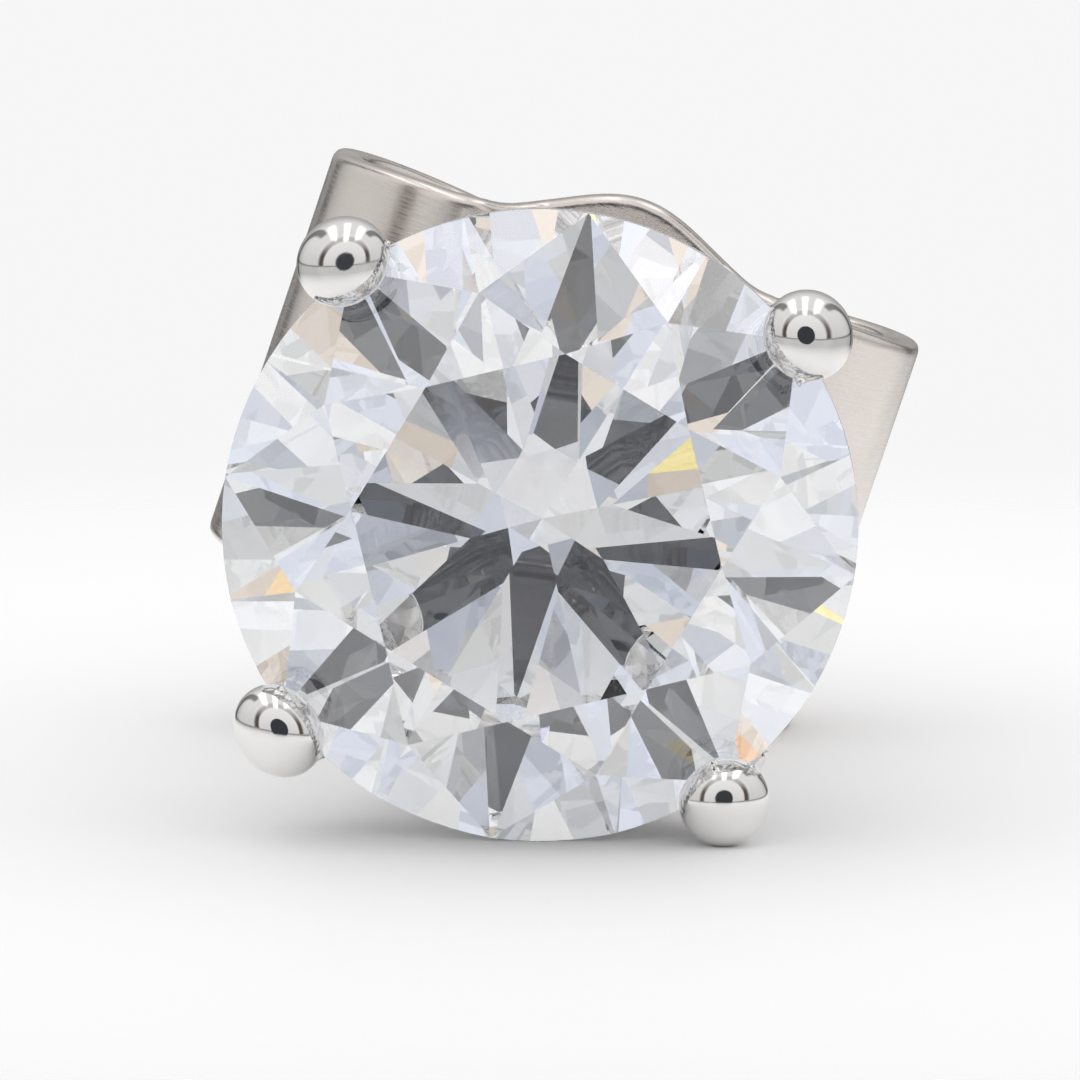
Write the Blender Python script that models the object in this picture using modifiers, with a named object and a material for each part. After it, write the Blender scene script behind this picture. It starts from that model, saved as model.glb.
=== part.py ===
"""A four-prong diamond stud earring with its push-on butterfly back, lying as it rests on a flat surface.

Each piece is modelled about the stud's own axis. Local +Z runs out through the stone's table, local Z = 0 is the
middle of the girdle, and the post runs back along local -Z. At the end the axis is laid down facing world -Y,
and it leans until the head and the back both touch the surface at world Z = 0. Lengths are in metres.
"""

import math

import bmesh
import bpy
import numpy as np
from mathutils import Matrix, Vector

# The round brilliant
STONE_DIAMETER = 0.0065
TABLE_WIDTH = 0.0038
GIRDLE_THICKNESS = 0.00022
CROWN_ANGLE = math.radians(34.5)
PAVILION_ANGLE = math.radians(40.2)
STAR_SHARE = 0.52
LOWER_HALF_SHARE = 0.77
GIRDLE_SIDES = 96

# The prongs
# Each prong's quarter of a turn is followed by how far it was bent aside, in degrees
PRONG_PLACES = ((0, -2), (1, 0), (2, 0), (3, 2))
TIP_RADIUS = 0.00046
TIP_HALF_HEIGHT = 0.0004
TIP_RISE = 0.0003
TIP_LEAN = math.radians(14)
TIP_OVERLAP = 0.00033
PRONG_TOP_RADIUS = 0.00043
PRONG_FOOT_RADIUS = 0.00034
PRONG_SLOPE = math.radians(22)
PRONG_SIDES_SETTING = 5
SEAT_CLEARANCE = 0.00003

# The basket's rails, base and post
RAIL_RADIUS = 0.00028
UPPER_RAIL_DROP = 0.00125
LOWER_RAIL_DROP = 0.0025
CULET_CLEARANCE = 0.0005
BASE_RADIUS = 0.0013
BASE_THICKNESS = 0.0005
BASE_EDGE = 0.00008
POST_RADIUS = 0.00045
POST_LENGTH = 0.010
POST_END_ROUNDING = 0.00022
NOTCH_FROM_END = 0.0016
NOTCH_LENGTH = 0.0005
NOTCH_DEPTH = 0.00008

# The butterfly back
GAP_TO_BACK = 0.0022
BACK_HALF_WIDTH = 0.00336
BACK_HEIGHT = 0.00572
# Columns: share of the way along the half strip from its middle, share of the whole height there
BACK_HEIGHT_SHARES = ((0, 1), (0.19, 0.82), (0.25, 0.81), (0.44, 0.78), (1, 0.66))
# How much further the plate reaches below its hole than above it; the earring stands on this foot
BACK_FOOT = 0.00043
SHEET_THICKNESS = 0.00035
SHEET_EDGE = 0.00006
PLATE_DIP = 0.00035
PLATE_FLAT_HALF_WIDTH = 0.00095
COIL_GAP = 0.0002
COIL_TURN = math.radians(300)
COIL_STEPS = 30
PLATE_STEPS = 16
HOLE_CLEARANCE = 0.00005
GRIP_CLEARANCE = 0.00004
BACK_TURN = math.radians(-18.5)

# The turn about the axis within which the lowest prong comes down to the surface
PRONG_ROLL_RANGE = (math.radians(50), math.radians(65))

# Smoothness of the turned and round pieces
TURNED_STEPS = 32
RAIL_STEPS = 40
RAIL_SIDES = 10
TIP_SEGMENTS = 20
TIP_RINGS = 12
SMOOTH_ANGLE = math.radians(35)
SNAP = 1e-8

# Sizes that follow from those above
STONE_RADIUS = STONE_DIAMETER / 2
HALF_GIRDLE = GIRDLE_THICKNESS / 2
CROWN_TOP = HALF_GIRDLE + (STONE_RADIUS - TABLE_WIDTH / 2) * math.tan(CROWN_ANGLE)
CULET = -HALF_GIRDLE - STONE_RADIUS * math.tan(PAVILION_ANGLE)
TIP_CIRCLE = STONE_RADIUS + TIP_RADIUS - TIP_OVERLAP
BASE_TOP = CULET - CULET_CLEARANCE
BASE_BOTTOM = BASE_TOP - BASE_THICKNESS
POST_END = BASE_BOTTOM - POST_LENGTH
BACK_FRONT = BASE_BOTTOM - GAP_TO_BACK
FACET_STEP = math.pi / 8


def around(angle, radius, height):
    """The point at that angle about the stud's axis."""
    return Vector((radius * math.cos(angle), radius * math.sin(angle), height))


def start_scene():
    """Clears the scene and returns the collections for the earring and for its cutters."""
    for old in list(bpy.data.objects):
        bpy.data.objects.remove(old)
    made = []
    for name in ("diamond_stud_earring", "cutters"):
        collection = bpy.data.collections.new(name)
        bpy.context.scene.collection.children.link(collection)
        made.append(collection)
    return made


def make_material(name, colour, metallic, roughness, transmission=0.0, ior=1.5):
    """A Principled material."""
    material = bpy.data.materials.new(name)
    material.use_nodes = True
    shader = material.node_tree.nodes["Principled BSDF"].inputs
    shader["Base Color"].default_value = (*colour, 1)
    shader["Metallic"].default_value = metallic
    shader["Roughness"].default_value = roughness
    shader["Transmission Weight"].default_value = transmission
    shader["IOR"].default_value = ior
    return material


def add_object(name, mesh, collection):
    """An object that holds this mesh, linked to the collection."""
    made = bpy.data.objects.new(name, mesh)
    collection.objects.link(made)
    return made


def add_helper(name, mesh, collection):
    """An object that only joins or cuts others."""
    helper = add_object(name, mesh, collection)
    helper.hide_render = True
    helper.display_type = "WIRE"
    return helper


def evaluated_mesh(source):
    """The object's mesh with its modifiers applied and touching points made one."""
    bpy.context.view_layer.update()
    graph = bpy.context.evaluated_depsgraph_get()
    mesh = bpy.data.meshes.new_from_object(source.evaluated_get(graph))
    shape = bmesh.new()
    shape.from_mesh(mesh)
    bmesh.ops.remove_doubles(shape, verts=shape.verts, dist=SNAP)
    bmesh.ops.recalc_face_normals(shape, faces=shape.faces)
    shape.to_mesh(mesh)
    shape.free()
    return mesh


def add_boolean(target, operation, other):
    """Joins or cuts the target with one helper, or with a whole collection of them."""
    modifier = target.modifiers.new(operation.lower(), "BOOLEAN")
    modifier.operation = operation
    if isinstance(other, bpy.types.Collection):
        modifier.operand_type = "COLLECTION"
        modifier.collection = other
    else:
        modifier.object = other


def shade_round(mesh):
    """Smooth shading, with sharp edges kept sharp."""
    mesh.shade_smooth()
    mesh.set_sharp_from_angle(angle=SMOOTH_ANGLE)


# The stone, cut plane by plane as a gem is


def plane_through(a, b, c, allowance):
    """The plane through three points, moved out from the stone's middle by the allowance."""
    normal = (b - a).cross(c - a).normalized()
    if normal.dot(a) < 0:
        normal.negate()
    return a + normal * allowance, normal


def slope_plane(angle, slope, side, allowance):
    """The plane of a main facet that meets the girdle's edge at this angle, on the crown (+1) or pavilion (-1)."""
    normal = around(angle, math.sin(slope), side * math.cos(slope))
    return around(angle, STONE_RADIUS, side * HALF_GIRDLE) + normal * allowance, normal


def main_height(slope, side, radius):
    """The height of the ridge between two main facets at this distance from the axis."""
    run = STONE_RADIUS - radius * math.cos(FACET_STEP)
    return side * (HALF_GIRDLE + run * math.tan(slope))


def facet_planes(allowance):
    """Every facet as a point on its plane and the plane's outward normal."""
    table_radius = TABLE_WIDTH / 2
    table_flat = table_radius * math.cos(FACET_STEP)
    star_radius = table_flat + STAR_SHARE * (STONE_RADIUS - table_flat)
    star_height = main_height(CROWN_ANGLE, 1, star_radius)
    lower_radius = STONE_RADIUS * (1 - LOWER_HALF_SHARE)
    lower_height = main_height(PAVILION_ANGLE, -1, lower_radius)
    planes = [(Vector((0, 0, CROWN_TOP + allowance)), Vector((0, 0, 1)))]
    for number in range(8):
        main = 2 * number * FACET_STEP
        ridge = main + FACET_STEP
        after = ridge + FACET_STEP
        star_tip = around(ridge, star_radius, star_height)
        lower_tip = around(ridge, lower_radius, lower_height)
        planes.append(slope_plane(main, CROWN_ANGLE, 1, allowance))
        planes.append(slope_plane(main, PAVILION_ANGLE, -1, allowance))
        table_corners = [around(a, table_radius, CROWN_TOP) for a in (main, after)]
        planes.append(plane_through(*table_corners, star_tip, allowance))
        for inner, side in ((star_tip, 1), (lower_tip, -1)):
            for angle in (main, after):
                rim = [around(a, STONE_RADIUS, side * HALF_GIRDLE) for a in (angle, ridge)]
                planes.append(plane_through(inner, *rim, allowance))
    return planes


def cut_brilliant(name, allowance=0.0):
    """The round brilliant as one closed mesh with flat facets, every facet moved out by the allowance."""
    shape = bmesh.new()
    bmesh.ops.create_cone(
        shape,
        cap_ends=True,
        segments=GIRDLE_SIDES,
        radius1=STONE_RADIUS + allowance,
        radius2=STONE_RADIUS + allowance,
        depth=2 * STONE_DIAMETER,
    )
    for point, normal in facet_planes(allowance):
        everything = [*shape.verts, *shape.edges, *shape.faces]
        bmesh.ops.bisect_plane(
            shape, geom=everything, dist=SNAP, plane_co=point, plane_no=normal, clear_outer=True
        )
        open_edges = [edge for edge in shape.edges if edge.is_boundary]
        if open_edges:
            bmesh.ops.holes_fill(shape, edges=open_edges)
    bmesh.ops.recalc_face_normals(shape, faces=shape.faces)
    mesh = bpy.data.meshes.new(name)
    shape.to_mesh(mesh)
    shape.free()
    return mesh


# The basket setting with its post


def prong_line(share):
    """Where a prong's middle line runs, as (distance from the axis, height), at a share of its way from foot to tip."""
    foot = Vector((BASE_RADIUS - PRONG_FOOT_RADIUS, (BASE_TOP + BASE_BOTTOM) / 2))
    tip = Vector((TIP_CIRCLE, TIP_RISE))
    shoulder = Vector((TIP_CIRCLE, -3 * HALF_GIRDLE))
    drop = STONE_RADIUS / 2
    knee = shoulder - Vector((drop * math.tan(PRONG_SLOPE), drop))
    ends = [foot, knee, shoulder, tip]
    while len(ends) > 1:
        ends = [a.lerp(b, share) for a, b in zip(ends, ends[1:])]
    return ends[0]


def rail_distance(drop):
    """How far from the axis a prong's middle line is at this depth below the girdle."""
    low, high = 0.0, 1.0
    for _ in range(30):
        middle = (low + high) / 2
        if prong_line(middle).y < -drop:
            low = middle
        else:
            high = middle
    return prong_line(low).x


def make_prong(cutters):
    """One prong: a tapered wire with a domed tip, joined into one mesh."""
    curve = bpy.data.curves.new("prong_wire", "CURVE")
    curve.dimensions = "3D"
    curve.bevel_depth = 1.0
    curve.bevel_resolution = PRONG_SIDES_SETTING
    curve.use_fill_caps = True
    spline = curve.splines.new("POLY")
    steps = 14
    spline.points.add(steps)
    for number, point in enumerate(spline.points):
        share = number / steps
        place = prong_line(share)
        point.co = (place.x, 0, place.y, 1)
        point.radius = PRONG_FOOT_RADIUS + (PRONG_TOP_RADIUS - PRONG_FOOT_RADIUS) * share
    wire = add_helper("prong_wire", curve, cutters)
    mesh = evaluated_mesh(wire)
    bpy.data.objects.remove(wire)
    prong = add_helper("prong", mesh, cutters)

    shape = bmesh.new()
    bmesh.ops.create_uvsphere(shape, u_segments=TIP_SEGMENTS, v_segments=TIP_RINGS, radius=TIP_RADIUS)
    flatten = Matrix.Diagonal((1, 1, TIP_HALF_HEIGHT / TIP_RADIUS, 1))
    lean = Matrix.Rotation(-TIP_LEAN, 4, "Y")
    place = Matrix.Translation((TIP_CIRCLE, 0, TIP_RISE))
    bmesh.ops.transform(shape, matrix=place @ lean @ flatten, verts=shape.verts)
    tip_mesh = bpy.data.meshes.new("prong_tip")
    shape.to_mesh(tip_mesh)
    shape.free()
    tip = add_helper("prong_tip", tip_mesh, cutters)
    add_boolean(prong, "UNION", tip)
    joined = evaluated_mesh(prong)
    bpy.data.objects.remove(prong)
    bpy.data.objects.remove(tip)
    return joined


def base_and_post_profile():
    """The half outline of the base disc and the post, from the disc's top middle down to the post's end."""
    notch_top = POST_END + NOTCH_FROM_END
    notch_bottom = notch_top - NOTCH_LENGTH
    notch_radius = POST_RADIUS - NOTCH_DEPTH
    outline = [
        (0, BASE_TOP),
        (BASE_RADIUS - BASE_EDGE, BASE_TOP),
        (BASE_RADIUS, BASE_TOP - BASE_EDGE),
        (BASE_RADIUS, BASE_BOTTOM + BASE_EDGE),
        (BASE_RADIUS - BASE_EDGE, BASE_BOTTOM),
        (POST_RADIUS, BASE_BOTTOM),
        (POST_RADIUS, notch_top + NOTCH_DEPTH),
        (notch_radius, notch_top),
        (notch_radius, notch_bottom),
        (POST_RADIUS, notch_bottom - NOTCH_DEPTH),
    ]
    for step in range(5):
        angle = step * math.pi / 8
        inset = POST_END_ROUNDING * (1 - math.cos(angle))
        height = POST_END + POST_END_ROUNDING * (1 - math.sin(angle))
        outline.append((POST_RADIUS - inset, height))
    outline.append((0, POST_END))
    return outline


def make_setting(parts, cutters):
    """The basket: base disc and post, two rails and the prongs in one solid, with the stone's seat cut in it."""
    mesh = bpy.data.meshes.new("four_prong_setting")
    outline = base_and_post_profile()
    corners = [(x, 0, z) for x, z in outline]
    mesh.from_pydata(corners, [(n, n + 1) for n in range(len(corners) - 1)], [])
    lathe = add_helper("base_and_post", mesh, cutters)
    screw = lathe.modifiers.new("turn", "SCREW")
    screw.steps = TURNED_STEPS
    screw.render_steps = TURNED_STEPS
    screw.use_merge_vertices = True
    screw.merge_threshold = SNAP
    solid = evaluated_mesh(lathe)
    bpy.data.objects.remove(lathe)

    joined = bpy.data.collections.new("joined_to_base")
    cutters.children.link(joined)
    prong_mesh = make_prong(cutters)
    for quarter, bent_aside in PRONG_PLACES:
        prong = add_helper(f"prong_{quarter + 1}", prong_mesh, joined)
        prong.rotation_euler.z = quarter * math.pi / 2 + math.radians(bent_aside)
    for name, drop in (("upper_rail", UPPER_RAIL_DROP), ("lower_rail", LOWER_RAIL_DROP)):
        bpy.ops.mesh.primitive_torus_add(
            major_segments=RAIL_STEPS,
            minor_segments=RAIL_SIDES,
            major_radius=rail_distance(drop),
            minor_radius=RAIL_RADIUS,
            location=(0, 0, -drop),
        )
        rail = bpy.context.object
        rail.name = name
        rail.hide_render = True
        rail.display_type = "WIRE"
        for holder in list(rail.users_collection):
            holder.objects.unlink(rail)
        joined.objects.link(rail)
    seat = add_helper("stone_seat", cut_brilliant("stone_seat", SEAT_CLEARANCE), cutters)

    setting = add_object("four_prong_setting", solid, parts)
    for helper in (*joined.objects, seat):
        helper.parent = setting
    add_boolean(setting, "UNION", joined)
    add_boolean(setting, "DIFFERENCE", seat)
    shade_round(setting.data)
    return setting


# The butterfly back


def coil_radius(turn):
    """The middle line's distance from its coil's centre after this turn. It shrinks so that the end clears the plate."""
    shrink = (SHEET_THICKNESS + COIL_GAP) / (2 * math.pi)
    outer = BACK_HALF_WIDTH - SHEET_THICKNESS / 2
    inner = POST_RADIUS + GRIP_CLEARANCE + SHEET_THICKNESS / 2
    start = (outer - inner + shrink * 2 * math.pi) / 2
    return start - shrink * turn


def strip_line():
    """The half strip's middle line in the plane of the two coils, as (sideways, forward) points from the middle out."""
    outer = BACK_HALF_WIDTH - SHEET_THICKNESS / 2
    centre_x = outer - coil_radius(math.pi / 2)
    centre_z = -coil_radius(0)
    line = []
    for step in range(PLATE_STEPS):
        sideways = centre_x * step / PLATE_STEPS
        share = max(0.0, (sideways - PLATE_FLAT_HALF_WIDTH) / (centre_x - PLATE_FLAT_HALF_WIDTH))
        dip = PLATE_DIP * (1 + math.cos(math.pi * share)) / 2
        line.append(Vector((sideways, -dip)))
    for step in range(COIL_STEPS + 1):
        turn = COIL_TURN * step / COIL_STEPS
        reach = coil_radius(turn)
        line.append(Vector((centre_x + reach * math.sin(turn), centre_z + reach * math.cos(turn))))
    return line


def strip_half_height(place):
    """Half the strip's height at this share of its way: tall at the hole, lower at the neck and along the coils."""
    for (before, tall), (after, low) in zip(BACK_HEIGHT_SHARES, BACK_HEIGHT_SHARES[1:]):
        if place <= after:
            eased = (1 - math.cos(math.pi * (place - before) / (after - before))) / 2
            break
    return (tall + (low - tall) * eased) * BACK_HEIGHT / 2


def strip_foot(place):
    """How much further the strip reaches down than up at this share of its way: a rounded foot between the necks."""
    neck = BACK_HEIGHT_SHARES[1][0]
    return BACK_FOOT * (1 + math.cos(math.pi * min(place / neck, 1))) / 2


def make_back(parts, cutters):
    """The butterfly back: one strip of sheet with a hole for the post, its ends rolled to grip the post."""
    line = strip_line()
    lengths = [0.0]
    for before, after in zip(line, line[1:]):
        lengths.append(lengths[-1] + (after - before).length)
    shape = bmesh.new()
    rows = []
    for place, travelled in zip(line, lengths):
        share = travelled / lengths[-1]
        half = strip_half_height(share)
        depth = place.y - SHEET_THICKNESS / 2
        rows.append([shape.verts.new((place.x, edge, depth)) for edge in (-half - strip_foot(share), half)])
    for near, far in zip(rows, rows[1:]):
        shape.faces.new((near[0], far[0], far[1], near[1]))
    mesh = bpy.data.meshes.new("butterfly_back")
    shape.to_mesh(mesh)
    shape.free()
    back = add_object("butterfly_back", mesh, parts)
    mirror = back.modifiers.new("other_half", "MIRROR")
    mirror.merge_threshold = SNAP
    sheet = back.modifiers.new("sheet", "SOLIDIFY")
    sheet.thickness = SHEET_THICKNESS
    sheet.offset = 0
    sheet.use_even_offset = True
    edge = back.modifiers.new("soft_edge", "BEVEL")
    edge.width = SHEET_EDGE
    edge.segments = 1
    edge.limit_method = "ANGLE"
    edge.angle_limit = math.radians(50)

    hole = bmesh.new()
    reach = POST_RADIUS + HOLE_CLEARANCE
    depth = 2 * (SHEET_THICKNESS + PLATE_DIP)
    bmesh.ops.create_cone(
        hole, cap_ends=True, segments=TURNED_STEPS, radius1=reach, radius2=reach, depth=2 * depth
    )
    drill_mesh = bpy.data.meshes.new("post_hole")
    hole.to_mesh(drill_mesh)
    hole.free()
    drill = add_helper("post_hole", drill_mesh, cutters)
    drill.parent = back
    add_boolean(back, "DIFFERENCE", drill)
    shade_round(back.data)
    return back


# Laying the earring down


def local_points(item):
    """The corners of an object's evaluated mesh, turned and moved as the object is under its parent."""
    graph = bpy.context.evaluated_depsgraph_get()
    mesh = item.evaluated_get(graph).to_mesh()
    points = np.array([vertex.co for vertex in mesh.vertices])
    own = np.array(item.matrix_basis)
    return points @ own[:3, :3].T + own[:3, 3]


def laid_down(points, lean):
    """The points with the axis laid to face -Y and then leaned back, so that the table looks up a little."""
    turn = np.array(Matrix.Rotation(math.pi / 2 - lean, 3, "X"))
    return points @ turn.T


def lowest_point(points, lean):
    """The height of the lowest of these points once they are laid down."""
    return laid_down(points, lean)[:, 2].min()


def turned(points, angle):
    """The points turned about the stud's own axis."""
    return points @ np.array(Matrix.Rotation(angle, 3, "Z")).T


def halved(is_low, low, high):
    """The value between low and high at which the test stops being true."""
    for _ in range(40):
        middle = (low + high) / 2
        if is_low(middle):
            low = middle
        else:
            high = middle
    return low


def resting_place(stone, setting, back):
    """The roll and the lean at which the girdle, one prong and the back all touch the surface."""
    lean = 0.0
    for _ in range(4):
        roll = halved(
            lambda angle: lowest_point(turned(setting, angle), lean) < lowest_point(turned(stone, angle), lean),
            -PRONG_ROLL_RANGE[1],
            -PRONG_ROLL_RANGE[0],
        )
        head = turned(np.concatenate([stone, setting]), roll)
        lean = halved(lambda angle: lowest_point(head, angle) < lowest_point(back, angle), -0.3, 0.3)
    return roll, lean


def main():
    parts, cutters = start_scene()
    diamond = add_object("diamond", cut_brilliant("diamond"), parts)
    setting = make_setting(parts, cutters)
    back = make_back(parts, cutters)

    diamond.data.materials.append(make_material("diamond", (0.98, 0.98, 1), 0, 0, 1, 2.417))
    setting.data.materials.append(make_material("white_gold", (0.82, 0.81, 0.80), 1, 0.08))
    back.data.materials.append(make_material("warm_white_gold", (0.80, 0.76, 0.72), 1, 0.16))

    back.rotation_euler.z = BACK_TURN
    back.location.z = BACK_FRONT
    bpy.context.view_layer.update()
    stone_points, setting_points, back_points = [local_points(item) for item in (diamond, setting, back)]
    head_points = setting_points[setting_points[:, 2] > BASE_TOP]
    roll, lean = resting_place(stone_points, head_points, back_points)
    diamond.rotation_euler.z = roll
    setting.rotation_euler.z = roll
    turned_head = turned(np.concatenate([stone_points, setting_points]), roll)
    whole = laid_down(np.concatenate([turned_head, back_points]), lean)
    lowest, highest = whole.min(axis=0), whole.max(axis=0)
    middle = (lowest + highest) / 2

    axis = bpy.data.objects.new("stud_axis", None)
    parts.objects.link(axis)
    axis.rotation_euler.x = math.pi / 2 - lean
    axis.location = (-middle[0], -middle[1], -lowest[2])
    for item in (diamond, setting, back):
        item.parent = axis


main()
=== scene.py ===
"""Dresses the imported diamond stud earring: fine meshes, materials, floor, soft studio light and camera.

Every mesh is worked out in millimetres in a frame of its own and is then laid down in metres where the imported
solids lie. The stud's frame has +Z out through the stone's table and Z = 0 at the middle of the girdle. The
back's frame has the same +Z, and Z = 0 at the front of its scrolls.
"""

import math

import bmesh
import bpy
import numpy as np
from mathutils import Matrix, Vector


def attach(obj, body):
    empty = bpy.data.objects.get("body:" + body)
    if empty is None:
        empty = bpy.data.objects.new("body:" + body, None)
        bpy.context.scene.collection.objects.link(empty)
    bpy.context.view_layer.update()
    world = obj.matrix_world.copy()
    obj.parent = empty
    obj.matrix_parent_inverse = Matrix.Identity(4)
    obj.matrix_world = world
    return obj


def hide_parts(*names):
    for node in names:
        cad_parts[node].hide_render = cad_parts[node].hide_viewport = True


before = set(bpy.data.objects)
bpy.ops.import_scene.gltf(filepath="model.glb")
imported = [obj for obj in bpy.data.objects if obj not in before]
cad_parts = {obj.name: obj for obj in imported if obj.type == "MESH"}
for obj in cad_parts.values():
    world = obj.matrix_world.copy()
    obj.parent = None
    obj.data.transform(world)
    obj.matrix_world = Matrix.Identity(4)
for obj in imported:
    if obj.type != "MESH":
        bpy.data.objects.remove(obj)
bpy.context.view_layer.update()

MM = 0.001

# Where the stud lies: the middle of its girdle, how far its table looks up, and its roll about its own axis
GIRDLE_MIDDLE = Vector((0.0, -6.3992, 3.2496))
LEAN = math.radians(0.6708)
ROLL = math.radians(-53.8498)
BACK_TURN = math.radians(-18.5)
BACK_FRONT = -6.0565
AXIS_FRAME = Matrix.Translation(GIRDLE_MIDDLE) @ Matrix.Rotation(math.pi / 2 - LEAN, 4, "X")
HEAD_FRAME = AXIS_FRAME @ Matrix.Rotation(ROLL, 4, "Z")
BACK_FRAME = AXIS_FRAME @ Matrix.Translation((0, 0, BACK_FRONT)) @ Matrix.Rotation(BACK_TURN, 4, "Z")

# The stone
STONE_RADIUS = 3.25
TABLE_RADIUS = 1.9
HALF_GIRDLE = 0.11
CROWN_ANGLE = math.radians(34.5)
PAVILION_ANGLE = math.radians(40.2)
STAR_SHARE = 0.52
LOWER_HALF_SHARE = 0.77
GIRDLE_SIDES = 96
MAIN_FACETS = 8
FACET_STEP = math.pi / MAIN_FACETS
CROWN_TOP = HALF_GIRDLE + (STONE_RADIUS - TABLE_RADIUS) * math.tan(CROWN_ANGLE)
CULET = -HALF_GIRDLE - STONE_RADIUS * math.tan(PAVILION_ANGLE)
DIAMOND_INDEX = 2.417

# The prongs. Each one's quarter of a turn is followed by how far it was bent aside, in degrees
PRONG_PLACES = ((0, -2), (1, 0), (2, 0), (3, 2))
TIP_CIRCLE = 3.38
TIP_RISE = 0.3
TIP_RADIUS = 0.46
TIP_HALF_HEIGHT = 0.4
TIP_LEAN = math.radians(14)
# How far each tip was squeezed as it was pushed over the stone, in the prongs' order. Columns: outward, aside
TIP_SQUEEZES = ((1.0, 1.02), (0.99, 1.03), (0.98, 1.06), (0.95, 1.1))
WIRE_FOOT_RADIUS = 0.34
WIRE_TOP_RADIUS = 0.43
WIRE_SLOPE = math.radians(22)
WIRE_STEPS = 20
WIRE_END_DROP = 0.1
SEAT_CLEARANCE = 0.03
# Burrs left where the tips were pushed over the stone. Columns: the prong's quarter of a turn, the burr's foot
# and its point, each as (out from the tip's middle, aside, above the girdle's middle)
BURRS = (
    (0, (-0.08, 0.32, 0.24), (-0.21, 0.68, 0.46)),
    (0, (-0.22, 0.10, 0.40), (-0.44, 0.13, 0.56)),
    (2, (-0.05, -0.30, 0.25), (-0.16, -0.55, 0.34)),
    (3, (-0.20, -0.20, 0.30), (-0.36, -0.38, 0.52)),
    (3, (-0.10, 0.30, 0.30), (-0.22, 0.50, 0.42)),
    (1, (-0.20, -0.22, 0.30), (-0.38, -0.36, 0.50)),
)
BURR_FOOT_RADIUS = 0.1
BURR_POINT_RADIUS = 0.02

# The basket's rails, base and post
RAIL_DROPS = (1.25, 2.5)
RAIL_RADIUS = 0.28
BASE_RADIUS = 1.3
BASE_TOP = CULET - 0.5
BASE_BOTTOM = BASE_TOP - 0.5
BASE_EDGE = 0.09
POST_RADIUS = 0.45
POST_END = BASE_BOTTOM - 10.0
POST_END_ROUNDING = 0.21
NOTCH_MIDDLE = POST_END + 1.35
NOTCH_DEPTH = 0.08
NOTCH_CURVE = 0.43
POST_SINK = 0.2

# Fillets along the setting's soldered joins, and the roundings of its cut edges
TIP_FILLET = 0.06
BURR_FILLET = 0.05
PRONG_FILLET = 0.16
RAIL_FILLET = 0.14
POST_FILLET = 0.3
NOTCH_ROUNDING = 0.08
SEAT_ROUNDING = 0.03

# The butterfly back
SHEET = 0.35
BACK_HALF_WIDTH = 3.36
BACK_HEIGHT = 5.72
# Columns: share of the way along the half strip from its middle, share of the whole height there
BACK_HEIGHT_SHARES = ((0, 1), (0.19, 0.82), (0.25, 0.81), (0.44, 0.78), (1, 0.66))
# How much further the plate reaches below its hole than above it; the earring stands on this foot
BACK_FOOT = 0.43
PLATE_DIP = 0.35
PLATE_FLAT = 0.95
COIL_GAP = 0.2
COIL_TURN = math.radians(300)
GRIP_CLEARANCE = 0.04
HOLE_RADIUS = 0.5
HOLE_ROUNDING = 0.05
FUNNEL_DEPTH = 0.12
# The raised lip round the hole: how far out of the hole's edge, how far into the sheet, its radius, its fillet
LIP_OUT, LIP_SINK, LIP_RADIUS, LIP_FILLET = 0.1, 0.005, 0.07, 0.15
SHEET_ROUNDING = 0.12
# The edge's field is divided by this, so that it stays near a true distance where the height changes
EDGE_STEEPNESS = 1.1
COIL_SHRINK = (SHEET + COIL_GAP) / (2 * math.pi)
COIL_OUTER = BACK_HALF_WIDTH - SHEET / 2
COIL_INNER = POST_RADIUS + GRIP_CLEARANCE + SHEET / 2
COIL_START = (COIL_OUTER - COIL_INNER + COIL_SHRINK * 2 * math.pi) / 2
COIL_X = COIL_OUTER - COIL_START + COIL_SHRINK * math.pi / 2

# The grid on which the metal's surface is skinned: its step, and its room round the metal
METAL_CELL = 0.05
GRID_ROOM = 0.2
TIP_ROOM = 0.12
SETTING_TOP = 0.95

# The camera stands a little above the stone and to its right
CAMERA_DISTANCE = 110.0
CAMERA_ABOVE_AXIS = math.radians(7.2)
CAMERA_ASIDE = 3.68
PIXELS_PER_MM = 98.0
FRAME_PIXELS = 1080
FRAME_AIM = Vector((0.0, 0.0, 3.1))


# Camera


def place_camera():
    """The camera, aimed so that the whole earring fills the frame."""
    elevation = CAMERA_ABOVE_AXIS + LEAN
    forward = Vector((0, math.cos(elevation), -math.sin(elevation)))
    place = GIRDLE_MIDDLE - forward * CAMERA_DISTANCE + Vector((CAMERA_ASIDE, 0, 0))
    aim = Vector((FRAME_AIM.x, GIRDLE_MIDDLE.y, FRAME_AIM.z))
    data = bpy.data.cameras.new("camera")
    data.sensor_width = 36.0
    data.sensor_height = 36.0
    data.sensor_fit = "HORIZONTAL"
    data.lens = data.sensor_width * PIXELS_PER_MM * CAMERA_DISTANCE / FRAME_PIXELS
    data.clip_start = 0.001
    data.clip_end = 5.0
    camera = bpy.data.objects.new("camera", data)
    bpy.context.scene.collection.objects.link(camera)
    camera.rotation_euler = (aim - place).to_track_quat("-Z", "Y").to_euler()
    camera.location = place * MM
    bpy.context.scene.camera = camera
    return place


camera_place = place_camera()


# Node helpers


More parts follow.
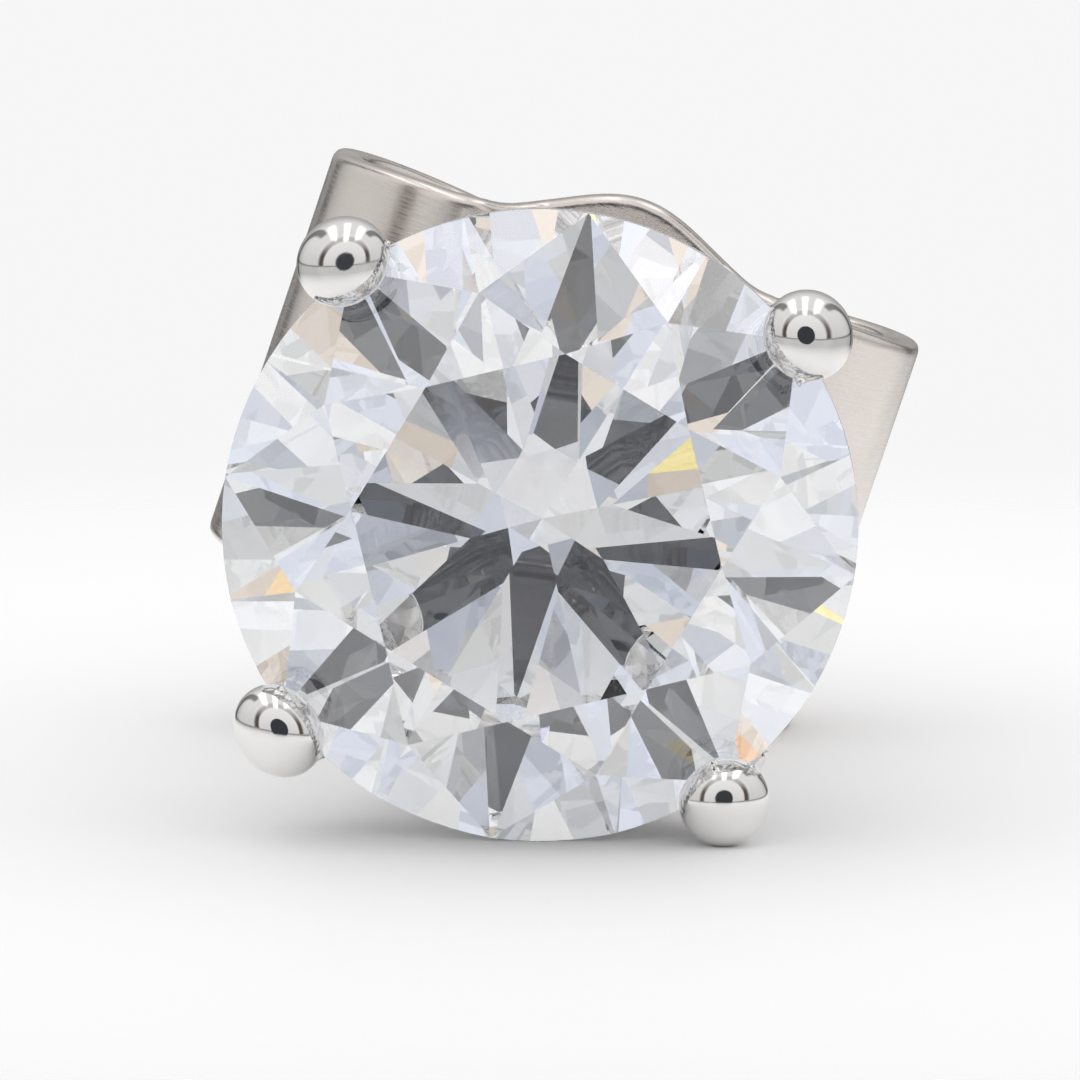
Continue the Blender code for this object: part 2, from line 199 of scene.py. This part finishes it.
class Graph:
    """Short calls for the nodes of one tree."""

    def __init__(self, tree):
        self.nodes = tree.nodes
        self.links = tree.links

    def put(self, socket, value):
        if isinstance(value, bpy.types.NodeSocket):
            self.links.new(value, socket)
        else:
            socket.default_value = value

    def add(self, kind, **settings):
        node = self.nodes.new(kind)
        for name, value in settings.items():
            setattr(node, name, value)
        return node

    def math(self, operation, first, second=0.0):
        node = self.add("ShaderNodeMath", operation=operation)
        self.put(node.inputs[0], first)
        self.put(node.inputs[1], second)
        return node.outputs[0]

    def vector(self, operation, first, second):
        node = self.add("ShaderNodeVectorMath", operation=operation)
        self.put(node.inputs[0], first)
        self.put(node.inputs[1], second)
        return node.outputs["Value" if operation == "DOT_PRODUCT" else "Vector"]

    def ramp(self, value, low, high, bottom=0.0, top=1.0):
        """The value eased from bottom to top as it goes from low to high."""
        node = self.add("ShaderNodeMapRange", interpolation_type="SMOOTHSTEP")
        for socket, number in zip(node.inputs, (value, low, high, bottom, top)):
            self.put(socket, number)
        return node.outputs[0]

    def mix(self, factor, first, second):
        node = self.add("ShaderNodeMix", data_type="RGBA")
        self.put(node.inputs[0], factor)
        self.put(node.inputs[6], first)
        self.put(node.inputs[7], second)
        return node.outputs[2]

    def times(self, colour, value):
        """The colour made brighter or darker by the value."""
        node = self.add("ShaderNodeMix", data_type="RGBA", blend_type="MULTIPLY")
        node.inputs[0].default_value = 1.0
        self.put(node.inputs[6], colour)
        self.put(node.inputs[7], value)
        return node.outputs[2]

    def cells(self, place, scale):
        """Three even random numbers for each cell of a broken pattern."""
        node = self.add("ShaderNodeTexVoronoi")
        self.put(node.inputs["Vector"], place)
        self.put(node.inputs["Scale"], scale)
        parts = self.add("ShaderNodeSeparateColor")
        self.put(parts.inputs[0], node.outputs["Color"])
        return parts.outputs

    def noise(self, place, scale, detail=2.0, roughness=0.5):
        node = self.add("ShaderNodeTexNoise")
        self.put(node.inputs["Vector"], place)
        self.put(node.inputs["Scale"], scale)
        self.put(node.inputs["Detail"], detail)
        self.put(node.inputs["Roughness"], roughness)
        return node.outputs[0]

    def bump(self, height, strength, distance, normal=None):
        node = self.add("ShaderNodeBump")
        self.put(node.inputs["Strength"], strength)
        self.put(node.inputs["Distance"], distance)
        self.put(node.inputs["Height"], height)
        if normal is not None:
            self.put(node.inputs["Normal"], normal)
        return node.outputs[0]


def new_material(name):
    material = bpy.data.materials.new(name)
    material.use_nodes = True
    return material, Graph(material.node_tree), material.node_tree.nodes["Principled BSDF"].inputs


def grey(value):
    return (value, value, value, 1.0)


# Light: a white tent round the earring, with the lens in its front and strip lights in its roof


PALE = 0.925
# How much brighter the tent is to matt surfaces, and to the stone
MATT_GAIN = 1.34
STONE_GAIN = 1.06

# The lens as the stone shows it, the camera as the metal shows it, and a dark arch round it, all in degrees
# from the way to the lens
LENS_REACH = 13.0
CAMERA_REACH = 20.0
ARCH_FROM = 47.0
ARCH_TO = 59.0
LENS_TONE = (0.045, 0.048, 0.056, 1)
FRAME_TONE = (0.11, 0.085, 0.075, 1)

# Columns: the strip light's place across the roof, half its width
ROOF_STRIPS = ((-0.4, 0.12), (0.0, 0.1), (0.4, 0.12))
STRIP_TONE = (1.75, 1.68, 1.7, 1)

# The patches and the coloured sparks that the stone breaks the light into. The shift decides in which facets
# the colours fall. Cells whose random number is above WARM_ABOVE are warm, and above SPARK_ABOVE a spark
PATTERN_SHIFT = (-7.7, -1.6, 3.2)
PATCH_SCALE = 6.0
SPARK_SCALE = 13.0
WARM_ABOVE = 0.93
SPARK_ABOVE = 0.981
COOL_TINT = (0.90, 0.955, 1.10, 1)
PLAIN_TINT = (1.0, 1.0, 0.985, 1)
WARM_TINT = (1.02, 0.88, 0.74, 1)
BLUE_SPARK = (0.30, 0.42, 1.05, 1)
VIOLET_SPARK = (0.58, 0.46, 1.05, 1)
ORANGE_SPARK = (1.15, 0.70, 0.42, 1)
YELLOW_SPARK = (1.2, 1.06, 0.42, 1)


def tent_value(graph, z, along):
    """The tent's own light: brightest overhead, a little less low down and round the lens."""
    height = graph.ramp(z, -0.15, 0.8, 0.8, 1.0)
    front = graph.ramp(along, 0.1, 0.95, 1.0, 0.84)
    return graph.math("MULTIPLY", height, front)


def disc_round(graph, along, reach, soft=0.8):
    """One inside this many degrees of the way to the lens, and nought outside."""
    return graph.ramp(along, math.cos(math.radians(reach + soft)), math.cos(math.radians(reach - soft)))


def stone_view(graph, place, tent, along):
    """The tent as the stone breaks it up: patches of light, cool and warm tints, and a few of pure colour."""
    place = graph.vector("ADD", place, PATTERN_SHIFT)
    patches = graph.cells(place, PATCH_SCALE)
    shade = graph.ramp(patches[0], 0.0, 0.55, 0.55, 1.0)
    value = graph.math("MULTIPLY", graph.math("MULTIPLY", tent, STONE_GAIN), shade)
    tint = graph.mix(graph.ramp(patches[1], 0.15, 0.75), COOL_TINT, PLAIN_TINT)
    tint = graph.mix(graph.math("GREATER_THAN", patches[1], WARM_ABOVE), tint, WARM_TINT)
    colour = graph.times(tint, value)
    sparks = graph.cells(place, SPARK_SCALE)
    cold = graph.mix(graph.ramp(sparks[2], 0.5, 1.0), BLUE_SPARK, VIOLET_SPARK)
    hot = graph.mix(graph.ramp(sparks[2], 0.0, 1.0), ORANGE_SPARK, YELLOW_SPARK)
    spark = graph.mix(graph.math("GREATER_THAN", sparks[1], 0.5), cold, hot)
    colour = graph.mix(graph.math("GREATER_THAN", sparks[0], SPARK_ABOVE), colour, spark)
    return graph.mix(disc_round(graph, along, LENS_REACH), colour, LENS_TONE)


def side_folds(graph, along, x):
    """One in the dark folds of cloth at the tent's two sides, and nought elsewhere."""
    side = graph.math("ABSOLUTE", x)
    fold = graph.math("MULTIPLY", graph.ramp(side, 0.5, 0.58), graph.ramp(side, 0.66, 0.76, 1.0, 0.0))
    return graph.math("MULTIPLY", fold, graph.ramp(along, -0.05, 0.2, 1.0, 0.0))


def arch_round_lens(graph, along, z):
    """One in the arch that stands on the horizon round the camera, fainter towards its crown."""
    arch = graph.math(
        "MULTIPLY",
        disc_round(graph, along, ARCH_TO, 4.5),
        graph.math("SUBTRACT", 1.0, disc_round(graph, along, ARCH_FROM, 2.5)),
    )
    arch = graph.math("MULTIPLY", arch, graph.ramp(z, -0.005, 0.005))
    return graph.math("MULTIPLY", arch, graph.ramp(z, 0.3, 0.8, 1.0, 0.45))


def metal_view(graph, tent, along, x, z):
    """The tent as polished metal mirrors it: dimmer behind, with folds, an arch, strip lights and the camera."""
    behind = graph.ramp(along, -0.97, -0.25, 0.55, 1.0)
    ground = graph.ramp(z, -0.012, 0.0, 0.84, 1.0)
    seam = graph.ramp(graph.math("ABSOLUTE", graph.math("ADD", z, 0.02)), 0.012, 0.04, 0.5, 1.0)
    value = graph.math("MULTIPLY", graph.math("MULTIPLY", tent, behind), graph.math("MULTIPLY", ground, seam))
    value = graph.math("MULTIPLY", value, graph.ramp(along, 0.3, 0.68, 0.86, 1.1))
    darker = graph.ramp(side_folds(graph, along, x), 0.0, 1.0, 1.0, 0.3)
    colour = graph.times(grey(1.0), graph.math("MULTIPLY", value, darker))
    colour = graph.mix(arch_round_lens(graph, along, z), colour, FRAME_TONE)
    for centre, half_width in ROOF_STRIPS:
        off = graph.math("ABSOLUTE", graph.math("SUBTRACT", x, centre))
        across = graph.ramp(off, half_width * 0.45, half_width * 1.2, 1.0, 0.0)
        roof = graph.math("MULTIPLY", graph.ramp(z, 0.76, 0.88), graph.ramp(along, -0.4, -0.15))
        colour = graph.mix(graph.math("MULTIPLY", across, roof), colour, STRIP_TONE)
    return graph.mix(disc_round(graph, along, CAMERA_REACH), colour, LENS_TONE)


def light_tent():
    """The world: plain to the camera and to matt surfaces, and richer where the metal and the stone show it."""
    world = bpy.data.worlds.new("light_tent")
    world.use_nodes = True
    bpy.context.scene.world = world
    graph = Graph(world.node_tree)
    background = world.node_tree.nodes["Background"].inputs
    place = graph.add("ShaderNodeTexCoord").outputs["Generated"]
    separate = graph.add("ShaderNodeSeparateXYZ")
    graph.put(separate.inputs[0], place)
    x, _, z = separate.outputs
    rays = graph.add("ShaderNodeLightPath").outputs
    to_lens = (camera_place - GIRDLE_MIDDLE).normalized()
    along = graph.vector("DOT_PRODUCT", place, to_lens)
    tent = tent_value(graph, z, along)
    plain = graph.times(grey(1.0), graph.math("MULTIPLY", tent, MATT_GAIN))
    colour = graph.mix(rays["Is Glossy Ray"], plain, metal_view(graph, tent, along, x, z))
    colour = graph.mix(rays["Is Transmission Ray"], colour, stone_view(graph, place, tent, along))
    colour = graph.mix(rays["Is Camera Ray"], colour, grey(PALE))
    graph.put(background["Color"], colour)
    background["Strength"].default_value = 1.0


light_tent()


# Floor


FLOOR_RADIUS = 0.04
FLOOR_FADE_FROM = 0.008
FLOOR_FADE_TO = 0.026
FLOOR_TONE = (0.87, 0.87, 0.875, 1)


def lay_floor():
    """A pale sheet that fades into the tent's white with distance."""
    bpy.ops.mesh.primitive_circle_add(vertices=96, radius=FLOOR_RADIUS, fill_type="NGON", location=(0, 0, 0))
    floor = bpy.context.object
    floor.name = "floor"
    material, graph, shader = new_material("pale_floor")
    place = graph.add("ShaderNodeTexCoord").outputs["Object"]
    length = graph.add("ShaderNodeVectorMath", operation="LENGTH")
    graph.put(length.inputs[0], place)
    away = length.outputs["Value"]
    graph.put(shader["Alpha"], graph.ramp(away, FLOOR_FADE_FROM, FLOOR_FADE_TO, 1.0, 0.0))
    shader["Base Color"].default_value = FLOOR_TONE
    shader["Roughness"].default_value = 0.5
    shader["Specular IOR Level"].default_value = 0.2
    floor.data.materials.append(material)


lay_floor()


# Materials


def diamond_material():
    material, _, shader = new_material("diamond")
    shader["Base Color"].default_value = (0.985, 0.99, 1.0, 1)
    shader["Roughness"].default_value = 0.0
    shader["IOR"].default_value = DIAMOND_INDEX
    shader["Transmission Weight"].default_value = 1.0
    return material


def girdle_material():
    """The stone's bruted edge, faintly frosted."""
    material, graph, shader = new_material("bruted_girdle")
    place = graph.add("ShaderNodeTexCoord").outputs["Object"]
    grain = graph.noise(place, 30000.0, 3.0)
    graph.put(shader["Roughness"], graph.ramp(grain, 0.35, 0.65, 0.12, 0.35))
    shader["Base Color"].default_value = (0.98, 0.985, 0.99, 1)
    shader["IOR"].default_value = DIAMOND_INDEX
    shader["Transmission Weight"].default_value = 1.0
    return material


def white_gold_material():
    """Mirror-polished metal with faint waves, polishing lines and specks of wear."""
    material, graph, shader = new_material("polished_white_gold")
    place = graph.add("ShaderNodeTexCoord").outputs["Object"]
    waves = graph.noise(place, 900.0, 2.0)
    lines = graph.noise(graph.vector("MULTIPLY", place, (1.0, 0.12, 1.0)), 26000.0, 3.0, 0.6)
    smears = graph.noise(place, 2600.0, 4.0, 0.6)
    graph.put(shader["Roughness"], graph.ramp(smears, 0.4, 0.72, 0.035, 0.13))
    graph.put(shader["Base Color"], graph.mix(smears, (0.86, 0.85, 0.84, 1), (0.80, 0.79, 0.775, 1)))
    shader["Metallic"].default_value = 1.0
    soft = graph.bump(waves, 0.25, 0.00003)
    graph.put(shader["Normal"], graph.bump(lines, 0.12, 0.000002, soft))
    return material


def satin_gold_material():
    """The back's satin sheet, with fine lines along the strip and a warmer tone."""
    material, graph, shader = new_material("satin_white_gold")
    strip = graph.add("ShaderNodeTexCoord").outputs["UV"]
    place = graph.add("ShaderNodeTexCoord").outputs["Object"]
    lines = graph.noise(graph.vector("MULTIPLY", strip, (1.2, 40.0, 1.0)), 1.0, 4.0, 0.65)
    cloud = graph.noise(place, 1500.0, 3.0, 0.55)
    graph.put(shader["Roughness"], graph.ramp(lines, 0.3, 0.7, 0.17, 0.3))
    graph.put(shader["Base Color"], graph.mix(cloud, (0.785, 0.735, 0.695, 1), (0.70, 0.645, 0.60, 1)))
    shader["Metallic"].default_value = 1.0
    soft = graph.bump(cloud, 0.2, 0.00003)
    graph.put(shader["Normal"], graph.bump(lines, 0.22, 0.000004, soft))
    return material


# Placing a finished mesh


def add_piece(name, mesh, materials, body, node):
    """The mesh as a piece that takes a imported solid's place and moves with its body."""
    piece = bpy.data.objects.new(name, mesh)
    bpy.context.scene.collection.objects.link(piece)
    for material in materials:
        mesh.materials.append(material)
    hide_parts(node)
    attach(piece, body)


# The stone


def around(angle, radius, height):
    return Vector((radius * math.cos(angle), radius * math.sin(angle), height))


def plane_through(a, b, c):
    """The plane through three points, as (point, normal away from the stone's middle)."""
    normal = (b - a).cross(c - a).normalized()
    if normal.dot(a) < 0:
        normal.negate()
    return a, normal


def main_height(slope, side, radius):
    """The height of the ridge between two main facets at this distance from the axis."""
    return side * (HALF_GIRDLE + (STONE_RADIUS - radius * math.cos(FACET_STEP)) * math.tan(slope))


def facet_planes():
    """Every facet as (point, outward normal): table, mains, stars and halves."""
    flat = TABLE_RADIUS * math.cos(FACET_STEP)
    star = flat + STAR_SHARE * (STONE_RADIUS - flat)
    lower = STONE_RADIUS * (1 - LOWER_HALF_SHARE)
    planes = [(Vector((0, 0, CROWN_TOP)), Vector((0, 0, 1)))]
    for number in range(MAIN_FACETS):
        main = 2 * number * FACET_STEP
        ridge = main + FACET_STEP
        after = ridge + FACET_STEP
        star_tip = around(ridge, star, main_height(CROWN_ANGLE, 1, star))
        lower_tip = around(ridge, lower, main_height(PAVILION_ANGLE, -1, lower))
        for slope, side in ((CROWN_ANGLE, 1), (PAVILION_ANGLE, -1)):
            normal = around(main, math.sin(slope), side * math.cos(slope))
            planes.append((around(main, STONE_RADIUS, side * HALF_GIRDLE), normal))
        corners = [around(angle, TABLE_RADIUS, CROWN_TOP) for angle in (main, after)]
        planes.append(plane_through(*corners, star_tip))
        for inner, side in ((star_tip, 1), (lower_tip, -1)):
            for angle in (main, after):
                rim = [around(a, STONE_RADIUS, side * HALF_GIRDLE) for a in (angle, ridge)]
                planes.append(plane_through(inner, *rim))
    return planes


def brilliant_mesh(planes):
    """The stone, cut plane by plane from a round rod."""
    shape = bmesh.new()
    bmesh.ops.create_cone(
        shape,
        cap_ends=True,
        segments=GIRDLE_SIDES,
        radius1=STONE_RADIUS,
        radius2=STONE_RADIUS,
        depth=4 * STONE_RADIUS,
    )
    for point, normal in planes:
        everything = [*shape.verts, *shape.edges, *shape.faces]
        bmesh.ops.bisect_plane(
            shape, geom=everything, dist=1e-5, plane_co=point, plane_no=normal, clear_outer=True
        )
        open_edges = [edge for edge in shape.edges if edge.is_boundary]
        if open_edges:
            bmesh.ops.holes_fill(shape, edges=open_edges)
    bmesh.ops.recalc_face_normals(shape, faces=shape.faces)
    for face in shape.faces:
        face.material_index = int(abs(face.normal.z) < 0.01)
    bmesh.ops.transform(shape, matrix=Matrix.Scale(MM, 4) @ HEAD_FRAME, verts=shape.verts)
    mesh = bpy.data.meshes.new("round_brilliant")
    shape.to_mesh(mesh)
    shape.free()
    return mesh


STONE_PLANES = facet_planes()
add_piece(
    "round_brilliant",
    brilliant_mesh(STONE_PLANES),
    (diamond_material(), girdle_material()),
    "stud",
    "diamond",
)


# Smooth fields: at each point, the distance out of the metal, or into it where negative


def smooth_least(first, second, reach):
    """The lesser of two fields, with a fillet of about this reach where they meet."""
    part = np.maximum(reach - np.abs(first - second), 0)
    return np.minimum(first, second) - part * part / (4 * reach)


def smooth_most(first, second, reach):
    return -smooth_least(-first, -second, reach)


def round_disc(out, height, radius, low, high, edge):
    """A disc or rod about the axis with rounded edges."""
    across = out - radius + edge
    along = np.abs(height - (low + high) / 2) - (high - low) / 2 + edge
    outside = np.hypot(np.maximum(across, 0), np.maximum(along, 0))
    return outside + np.minimum(np.maximum(across, along), 0) - edge


def wire_line():
    """A prong's middle line, foot to tip, as rows of (distance from the axis, height, radius)."""
    foot = np.array((BASE_RADIUS - WIRE_FOOT_RADIUS, (BASE_TOP + BASE_BOTTOM) / 2))
    shoulder = np.array((TIP_CIRCLE, -3 * HALF_GIRDLE))
    drop = STONE_RADIUS / 2
    knee = shoulder - np.array((drop * math.tan(WIRE_SLOPE), drop))
    tip = np.array((TIP_CIRCLE, TIP_RISE))
    share = np.linspace(0, 1, WIRE_STEPS + 1)[:, None]
    rest = 1 - share
    line = rest**3 * foot + 3 * rest**2 * share * knee + 3 * rest * share**2 * shoulder + share**3 * tip
    radius = WIRE_FOOT_RADIUS + (WIRE_TOP_RADIUS - WIRE_FOOT_RADIUS) * share
    rows = np.hstack([line, radius])
    return rows[rows[:, 1] < TIP_RISE - WIRE_END_DROP]


WIRE = wire_line()


def burr_field(out, aside, height, foot, point):
    """A small spur that narrows from its foot to its point."""
    foot, point = np.array(foot), np.array(point)
    run = point - foot
    place = np.stack([out - TIP_CIRCLE, aside, height], 1) - foot
    share = np.clip(place @ run / (run @ run), 0, 1)
    away = np.linalg.norm(place - share[:, None] * run, axis=1)
    return away - BURR_FOOT_RADIUS + share * (BURR_FOOT_RADIUS - BURR_POINT_RADIUS)


def prong_field(out, aside, height, squeeze):
    """One prong: the tapered wire and the domed tip that leans over the stone."""
    metal = np.full(out.shape, 9.0)
    for (x, z, radius), (next_x, next_z, next_radius) in zip(WIRE, WIRE[1:]):
        run, rise = next_x - x, next_z - z
        share = ((out - x) * run + (height - z) * rise) / (run * run + rise * rise)
        share = np.clip(share, 0, 1)
        away = np.sqrt((out - x - share * run) ** 2 + (height - z - share * rise) ** 2 + aside**2)
        metal = np.minimum(metal, away - radius - share * (next_radius - radius))
    lean, upright = math.sin(TIP_LEAN), math.cos(TIP_LEAN)
    across = upright * (out - TIP_CIRCLE) - lean * (height - TIP_RISE)
    up = lean * (out - TIP_CIRCLE) + upright * (height - TIP_RISE)
    size = np.array((TIP_RADIUS * squeeze[0], TIP_RADIUS * squeeze[1], TIP_HALF_HEIGHT))
    place = np.stack([across, aside, up], 1) / size
    reach = np.linalg.norm(place, axis=1) + 1e-9
    tip = reach * (reach - 1) / (np.linalg.norm(place / size, axis=1) + 1e-9)
    return smooth_least(metal, tip, TIP_FILLET)


def setting_field(points):
    """Base disc, notched post, prongs and rails run together as soldered, and the stone's seat cut in them."""
    x, y, z = points.T
    out = np.hypot(x, y)
    metal = round_disc(out, z, BASE_RADIUS, BASE_BOTTOM, BASE_TOP, BASE_EDGE)
    post = round_disc(out, z, POST_RADIUS, POST_END, BASE_BOTTOM + POST_SINK, POST_END_ROUNDING)
    notch = np.hypot(out - POST_RADIUS + NOTCH_DEPTH - NOTCH_CURVE, z - NOTCH_MIDDLE) - NOTCH_CURVE
    post = smooth_most(post, -notch, NOTCH_ROUNDING)
    metal = smooth_least(metal, post, POST_FILLET)
    for (quarter, bent_aside), squeeze in zip(PRONG_PLACES, TIP_SQUEEZES):
        angle = quarter * math.pi / 2 + math.radians(bent_aside)
        cosine, sine = math.cos(angle), math.sin(angle)
        across, aside = cosine * x + sine * y, cosine * y - sine * x
        prong = prong_field(across, aside, z, squeeze)
        for burr_quarter, foot, point in BURRS:
            if burr_quarter == quarter:
                prong = smooth_least(prong, burr_field(across, aside, z, foot, point), BURR_FILLET)
        metal = smooth_least(metal, prong, PRONG_FILLET)
    for drop in RAIL_DROPS:
        ring = np.interp(-drop, WIRE[:, 1], WIRE[:, 0])
        metal = smooth_least(metal, np.hypot(out - ring, z + drop) - RAIL_RADIUS, RAIL_FILLET)
    stone = out - STONE_RADIUS
    for point, normal in STONE_PLANES:
        stone = np.maximum(stone, (points - np.array(point)) @ np.array(normal))
    return smooth_most(metal, SEAT_CLEARANCE - stone, SEAT_ROUNDING)


# The back's middle line: a dipped plate, then a coil that shrinks as it turns


def dip_at(sideways):
    """How far back the plate is dipped at this distance from its middle."""
    share = np.clip((sideways - PLATE_FLAT) / (COIL_X - PLATE_FLAT), 0, 1)
    return PLATE_DIP * (1 + np.cos(math.pi * share)) / 2


PLATE_X = np.linspace(0, COIL_X, 200)
PLATE_WAY = np.append(0, np.cumsum(np.hypot(np.diff(PLATE_X), np.diff(dip_at(PLATE_X)))))


def coil_way(turn):
    """The way from the middle of the strip to this turn of its coil."""
    return PLATE_WAY[-1] + COIL_START * turn - COIL_SHRINK * turn**2 / 2


def half_height_at(way):
    """Half the strip's height: tall at the hole, lower at the neck and along the coils."""
    share = way / coil_way(COIL_TURN)
    height = np.ones_like(share)
    for (before, tall), (after, low) in zip(BACK_HEIGHT_SHARES, BACK_HEIGHT_SHARES[1:]):
        eased = (1 - np.cos(math.pi * np.clip((share - before) / (after - before), 0, 1))) / 2
        height = np.where(share >= before, tall + (low - tall) * eased, height)
    return height * BACK_HEIGHT / 2


def foot_at(way):
    """How much further the strip reaches down than up: a rounded foot between the necks."""
    share = way / coil_way(COIL_TURN)
    return BACK_FOOT * (1 + np.cos(math.pi * np.clip(share / BACK_HEIGHT_SHARES[1][0], 0, 1))) / 2


def strip_place(x, z):
    """How far a point is from the strip's middle line, and how far along the half strip."""
    side = np.abs(x)
    depth = z + SHEET / 2
    on_plate = np.minimum(side, COIL_X)
    slope = (dip_at(on_plate + 1e-3) - dip_at(on_plate - 1e-3)) / 2e-3
    plate = np.abs(depth + dip_at(on_plate)) / np.hypot(1, slope)
    plate = np.where(side <= COIL_X, plate, np.hypot(side - COIL_X, depth))
    across, up = side - COIL_X, depth + COIL_START
    turn = np.mod(np.arctan2(across, up), 2 * math.pi)
    held = np.minimum(turn, COIL_TURN)
    reach = COIL_START - COIL_SHRINK * held
    past_end = np.hypot(across - reach * np.sin(held), up - reach * np.cos(held))
    coil = np.where(turn < COIL_TURN, np.abs(np.hypot(across, up) - reach), past_end)
    way = np.where(plate < coil, np.interp(on_plate, PLATE_X, PLATE_WAY), coil_way(held))
    return np.minimum(plate, coil), way


def back_field(points):
    """The rolled strip with softened edges, and the post's hole with a funnelled front and a lip behind."""
    x, y, z = points.T
    away, way = strip_place(x, z)
    past_edge = np.abs(y) - half_height_at(way) - np.where(y < 0, foot_at(way), 0)
    metal = smooth_most(away - SHEET / 2, past_edge / EDGE_STEEPNESS, SHEET_ROUNDING)
    out = np.hypot(x, y)
    lip = np.hypot(out - HOLE_RADIUS - LIP_OUT, z + PLATE_DIP + SHEET - LIP_SINK) - LIP_RADIUS
    metal = smooth_least(metal, lip, LIP_FILLET)
    funnel = FUNNEL_DEPTH * np.clip((z + PLATE_DIP + FUNNEL_DEPTH) / FUNNEL_DEPTH, 0, 2)
    return smooth_most(metal, HOLE_RADIUS + funnel - out, HOLE_ROUNDING)


# Skinning a field with quads


CORNERS = np.array([(i, j, k) for i in (0, 1) for j in (0, 1) for k in (0, 1)])
CELL_EDGES = [(a, b) for a in range(8) for b in range(a) if np.abs(CORNERS[a] - CORNERS[b]).sum() == 1]


def spread(field, points, most=400000):
    """The field at many points, a part of them at a time."""
    return np.concatenate([field(points[start : start + most]) for start in range(0, len(points), most)])


def grid_points(counts):
    return np.stack(np.meshgrid(*[np.arange(count) for count in counts], indexing="ij"), -1).reshape(-1, 3)


def slopes(field, points, step=1e-3):
    """The field's gradient at each point."""
    sides = np.eye(3) * step
    return np.stack([(field(points + side) - field(points - side)) / (2 * step) for side in sides], 1)


def sampled(field, low, high, cell, block=5):
    """The field on a grid, worked out point by point only in the blocks near the surface."""
    blocks = np.ceil((high - low) / (cell * block)).astype(int)
    corners = grid_points(blocks)
    depth = spread(field, low + (corners + 0.5) * cell * block - cell / 2)
    near = np.abs(depth) < cell * block * 1.1
    values = depth.reshape(blocks)
    for axis in range(3):
        values = np.repeat(values, block, axis)
    nodes = (corners[near][:, None] * block + grid_points((block, block, block))).reshape(-1, 3)
    values[tuple(nodes.T)] = spread(field, low + nodes * cell)
    return values


PULLS_TO_SURFACE = 4


def skin(field, low, high, cell):
    """The surface as quads: their points and normals lie exactly on the field's zero."""
    low = np.array(low)
    values = sampled(field, low, np.array(high), cell)
    inside = values < 0
    count = sum(
        inside[i : i - 1 or None, j : j - 1 or None, k : k - 1 or None].astype(np.int8) for i, j, k in CORNERS
    )
    cells = np.argwhere((count > 0) & (count < 8))
    number = np.full(count.shape, -1)
    number[tuple(cells.T)] = np.arange(len(cells))

    at = np.stack([values[tuple((cells + corner).T)] for corner in CORNERS], 1)
    total = np.zeros((len(cells), 3))
    crossings = np.zeros(len(cells))
    for a, b in CELL_EDGES:
        crosses = (at[:, a] < 0) != (at[:, b] < 0)
        share = np.where(crosses, at[:, a] / np.where(crosses, at[:, a] - at[:, b], 1), 0)
        place = CORNERS[a] + share[:, None] * (CORNERS[b] - CORNERS[a])
        total += np.where(crosses[:, None], place, 0)
        crossings += crosses
    points = low + (cells + total / crossings[:, None]) * cell

    faces = []
    for axis in range(3):
        first = np.take(inside, range(inside.shape[axis] - 1), axis)
        second = np.take(inside, range(1, inside.shape[axis]), axis)
        edges = np.argwhere(first != second)
        one, two = np.eye(3, dtype=int)[[(axis + 1) % 3, (axis + 2) % 3]]
        ring = [number[tuple((edges - a * one - b * two).T)] for a, b in ((0, 0), (1, 0), (1, 1), (0, 1))]
        quads = np.stack(ring, 1)
        inward = ~first[tuple(edges.T)]
        quads[inward] = quads[inward][:, ::-1]
        faces.append(quads)

    for _ in range(PULLS_TO_SURFACE):
        slope = slopes(field, points)
        move = slope * (field(points) / np.maximum((slope**2).sum(1), 1e-3))[:, None]
        length = np.linalg.norm(move, axis=1, keepdims=True)
        points -= move * np.minimum(1, 0.5 * cell / np.maximum(length, 1e-9))
    slope = slopes(field, points)
    return points, np.concatenate(faces), slope / np.linalg.norm(slope, axis=1, keepdims=True)


def skinned_mesh(name, points, faces, normals, lay):
    """A smooth mesh of the skin, laid down by this matrix."""
    matrix = np.array(lay)
    mesh = bpy.data.meshes.new(name)
    mesh.from_pydata((points @ matrix[:3, :3].T + matrix[:3, 3]) * MM, [], faces.tolist())
    mesh.shade_smooth()
    mesh.normals_split_custom_set_from_vertices((normals @ matrix[:3, :3].T).tolist())
    return mesh


def add_setting():
    """The soldered setting, in polished metal."""
    reach = TIP_CIRCLE + TIP_RADIUS + TIP_ROOM
    low = (-reach, -reach, POST_END - GRID_ROOM)
    skin_of_it = skin(setting_field, low, (reach, reach, SETTING_TOP), METAL_CELL)
    mesh = skinned_mesh("basket_and_post", *skin_of_it, HEAD_FRAME)
    add_piece("basket_and_post", mesh, (white_gold_material(),), "stud", "four_prong_setting")


def add_back():
    """The rolled back, in satin metal, with a map along its strip for the fine lines."""
    side, tall = BACK_HALF_WIDTH + GRID_ROOM, BACK_HEIGHT / 2 + GRID_ROOM
    low = (-side, -tall - BACK_FOOT, -2 * COIL_START - SHEET)
    points, faces, normals = skin(back_field, low, (side, tall, GRID_ROOM), METAL_CELL)
    mesh = skinned_mesh("rolled_back", points, faces, normals, BACK_FRAME)
    way = strip_place(points[:, 0], points[:, 2])[1] * np.sign(points[:, 0])
    corners = faces.ravel()
    strip = mesh.uv_layers.new(name="strip")
    strip.uv.foreach_set("vector", np.stack([way[corners], points[corners, 1]], 1).ravel())
    add_piece("rolled_back", mesh, (satin_gold_material(),), "back", "butterfly_back")


add_setting()
add_back()

scene = bpy.context.scene
scene.view_settings.view_transform = "Standard"
scene.cycles.max_bounces = 24
scene.cycles.transmission_bounces = 24
scene.cycles.glossy_bounces = 12
scene.cycles.diffuse_bounces = 4
scene.cycles.use_denoising = True
